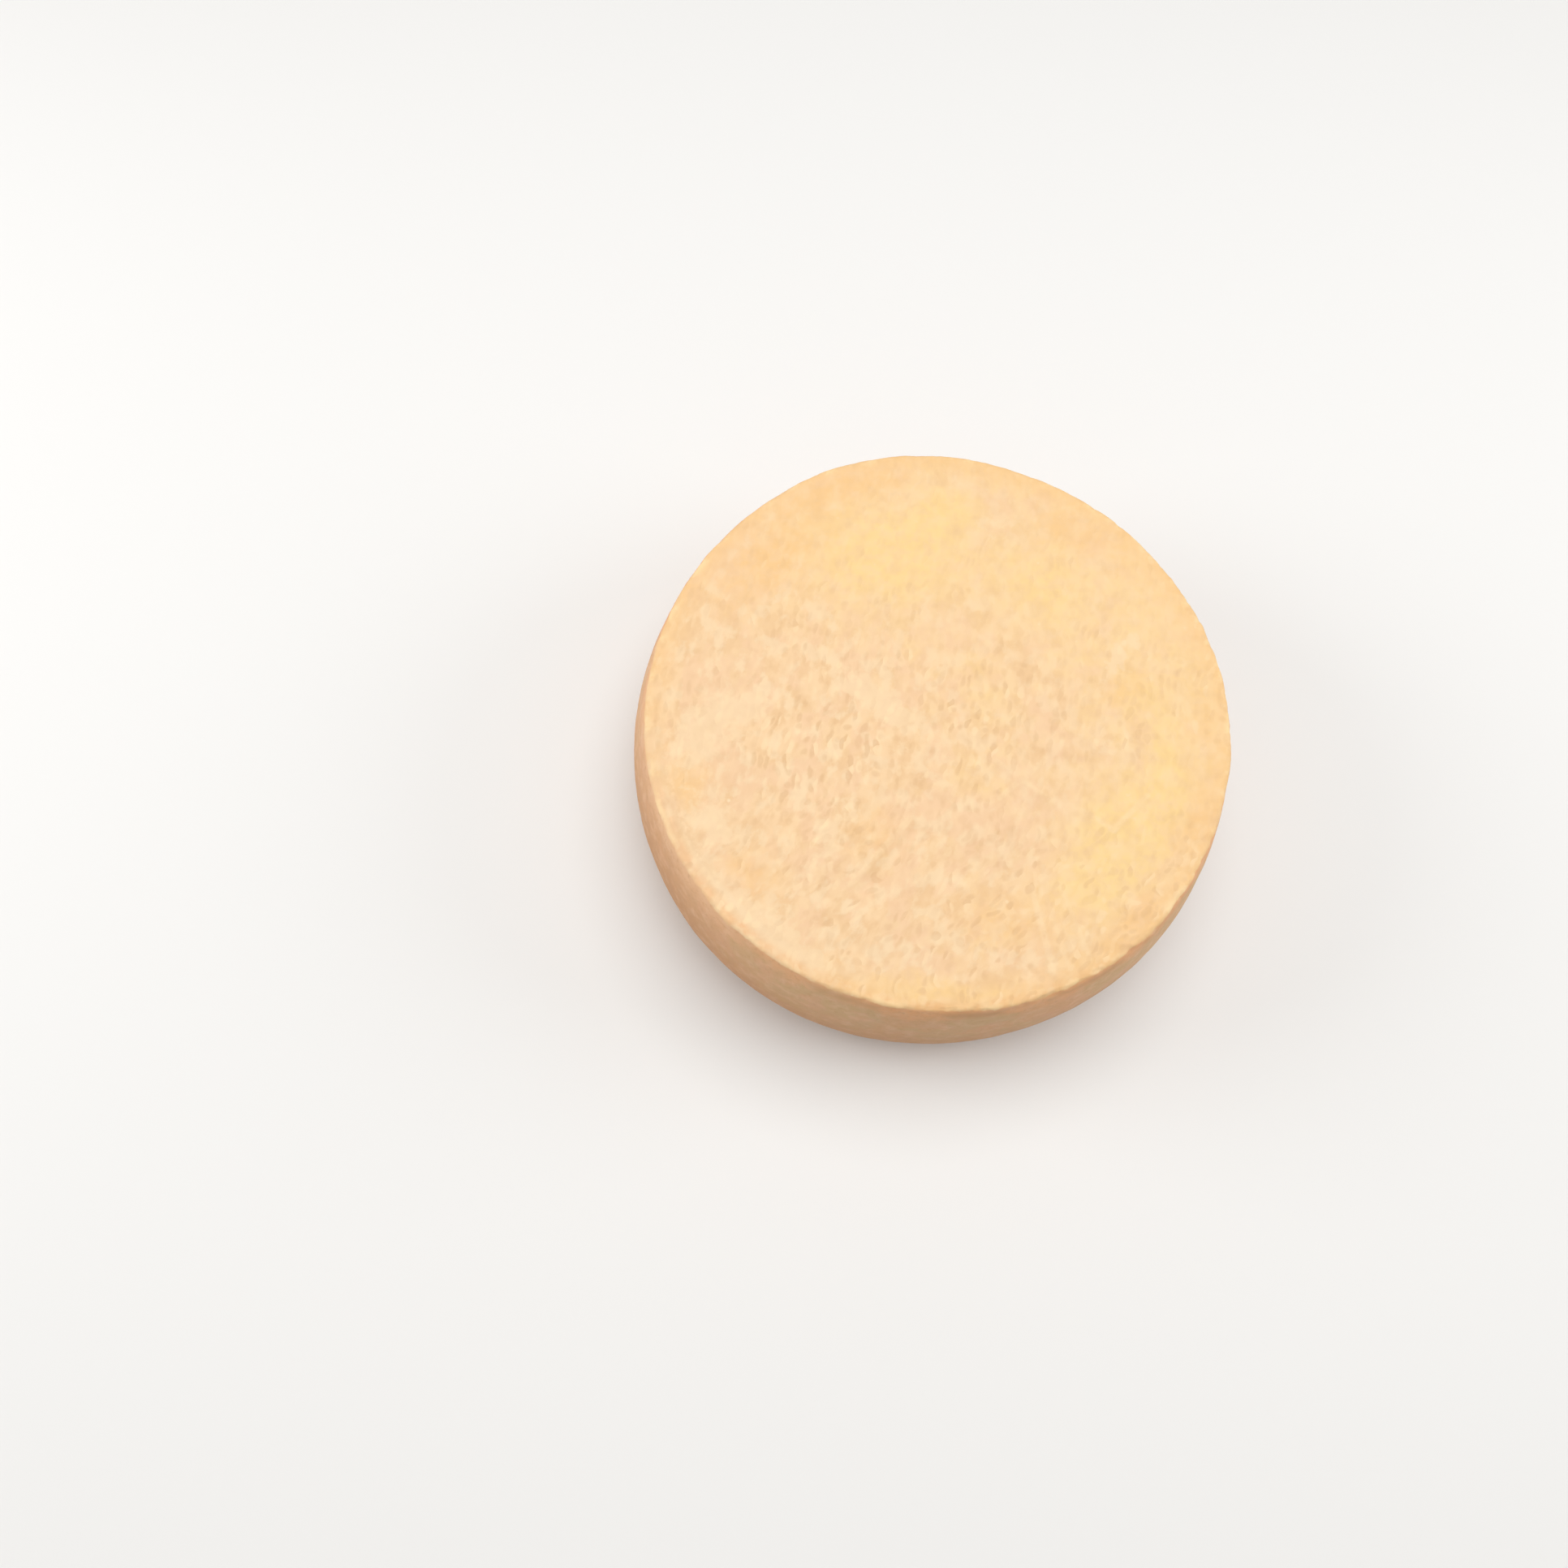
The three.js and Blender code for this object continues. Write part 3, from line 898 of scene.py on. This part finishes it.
def side_colour(recipe, skin, clouds, mottle):
    """Orange under the rim, paler at the left where a highlight is painted, tan below and brown
    towards the foot as painted shade, with grey bloom that is thickest in front and a thin pale
    film."""
    clouded = skin.drop + (clouds - 0.5) * ORANGE_CLOUD_SWAY
    drop = clouded + (mottle - 0.5) * ORANGE_MOTTLE_SWAY
    grey = recipe.bell(recipe.turn_between(skin.angle, GREY_SIDE_ANGLE), GREY_SIDE_SPREAD)
    # left: pinker side at the left, with a painted highlight under the rim where it flares
    left = recipe.bell(recipe.turn_between(skin.angle, HIGHLIT_EDGE_ANGLE), HIGHLIT_EDGE_SPREAD)
    grey = grey * 0.4 + recipe.step(clouds, 0.41, 0.57) * (1.0 - left) * 0.85
    colour = recipe.blend(recipe.least(grey, 1.0), SIDE_TAN, SIDE_GREY)
    bare = recipe.noise(skin.point, BARE_SPOT_LENGTH, detail=4.0)
    bare = recipe.step(bare, 0.48, 0.64, at_low=0.0, at_high=0.5)
    colour = recipe.blend(bare, colour, SIDE_PINK)
    orange = recipe.step(drop, *ORANGE_DROPS, at_low=1.0, at_high=0.0)
    colour = recipe.blend(orange * (mottle * 0.8 + 0.5) * (1.0 - left), colour, SIDE_ORANGE)
    # painted highlight under the rim at the left
    colour = recipe.blend(orange * left, colour, SIDE_HIGHLIGHT_WARM)
    # painted shade: the side darkens to brown towards the foot
    level = skin.level + (mottle - 0.5) * LOW_SIDE_SHADE_SWAY - left * LOW_SIDE_SHADE_RISE
    colour = recipe.blend(recipe.step(level, *LOW_SIDE_SHADE_LEVELS), colour, SIDE_LOW)
    film = recipe.noise(skin.point, FILM_LENGTH, detail=3.0)
    film = recipe.step(film, 0.42, 0.76, at_low=0.0, at_high=0.42)
    film = film * recipe.step(skin.level, *FILM_LEVELS, at_low=0.25, at_high=1.0)
    colour = recipe.blend(film, colour, SIDE_PALE)
    stipple = recipe.noise(skin.point, STIPPLE_LENGTH, detail=2.0)
    stipple = recipe.step(stipple, 0.50, 0.76, at_low=0.0, at_high=0.32)
    # a broken brown line a little under the rim, in front
    brown_line_stretch = recipe.bell(recipe.turn_between(skin.angle, BROWN_LINE_ANGLE), BROWN_LINE_SPREAD)
    line = recipe.bell(skin.drop - BROWN_LINE_DROP, BROWN_LINE_WIDTH)
    line = line * recipe.step(clouds, 0.38, 0.56) * brown_line_stretch
    return recipe.blend(recipe.most(stipple, line * 0.6), colour, SIDE_LOW)


def rind_material():
    recipe = ColourRecipe("natural_rind")
    skin = Skin(recipe)
    clouds = recipe.noise(skin.point, CLOUD_LENGTH, detail=4.0, roughness=0.6)
    mottle = recipe.noise(skin.point, MOTTLE_LENGTH, detail=4.0, roughness=0.62)
    faces = face_colour(recipe, skin, clouds, mottle)
    side = side_colour(recipe, skin, clouds, mottle)
    colour = recipe.blend(skin.side, faces, side)
    colour = recipe.blend(beads(recipe, skin), colour, BEAD_WHITE)
    grain = recipe.noise(skin.point, FINE_GRAIN_LENGTH, detail=3.0, roughness=0.6)
    normal = recipe.bump(grain, FINE_GRAIN_DEPTH, FINE_GRAIN_STRENGTH)
    return recipe.finish(colour, recipe.step(mottle, 0.3, 0.7, *GLOSS_ROUGHNESS), normal)


# ---------------------------------------------------------------------------------------------
# Floor, light and camera.

FLOOR_SIZE = 12
FLOOR_ROUGHNESS = 0.9
ROOM_STRENGTH = 0.36
LIGHTS = [                  # place, width and watts of each; all are aimed at the origin
    ("ceiling_light", (0.05, 0.17, 1.13), 0.9, 7.5),
    ("left_light", (-0.90, 0.05, 0.50), 0.6, 3.5),
    ("right_light", (0.90, 0.05, 0.50), 0.6, 2.8),
]
CAMERA_PLACE = Vector((-0.0419, -0.1214, 0.3598))
CAMERA_AIM = Vector((-0.0419, -0.0232, 0.0600))
CAMERA_ROLL = 2.04          # degrees that the horizon tips
SENSOR_WIDTH = 36.0         # millimetres, as is the lens
LENS = 26.09
NEAREST_SEEN = 0.01         # the camera shows nothing nearer


def lay_floor():
    bpy.ops.mesh.primitive_plane_add(size=FLOOR_SIZE)
    floor = bpy.context.active_object
    floor.name = "floor"
    floor.data.materials.append(ColourRecipe("pale_floor").finish(FLOOR_GREY, FLOOR_ROUGHNESS))


def hang_light(name, place, width, power):
    bpy.ops.object.light_add(type="AREA", location=place)
    light = bpy.context.active_object
    light.name = name
    light.data.shape = "DISK"
    light.data.size = width
    light.data.energy = power
    light.rotation_euler = (-Vector(place)).to_track_quat("-Z", "Y").to_euler()


def light_room():
    world = bpy.data.worlds.new("room")
    world.use_nodes = True
    background = world.node_tree.nodes["Background"]
    background.inputs["Color"].default_value = ROOM_WHITE
    background.inputs["Strength"].default_value = ROOM_STRENGTH
    bpy.context.scene.world = world
    for name, place, width, power in LIGHTS:
        hang_light(name, place, width, power)


def set_camera():
    camera = bpy.data.cameras.new("camera")
    camera.sensor_width = SENSOR_WIDTH
    camera.lens = LENS
    camera.clip_start = NEAREST_SEEN
    holder = bpy.data.objects.new("camera", camera)
    bpy.context.scene.collection.objects.link(holder)
    look = (CAMERA_AIM - CAMERA_PLACE).to_track_quat("-Z", "Y")
    roll = Quaternion((0, 0, 1), math.radians(CAMERA_ROLL))
    holder.location = CAMERA_PLACE
    holder.rotation_euler = (look @ roll).to_euler()
    bpy.context.scene.camera = holder


wheel = lathe_wheel()
refine(wheel)
make_uneven(wheel)
press_cloth(wheel)
bpy.ops.object.shade_smooth()
wheel.data.materials.clear()
wheel.data.materials.append(rind_material())
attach(wheel, "root")
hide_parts("cheese_wheel")

lay_floor()
light_room()
set_camera()
bpy.context.scene.view_settings.view_transform = "Standard"
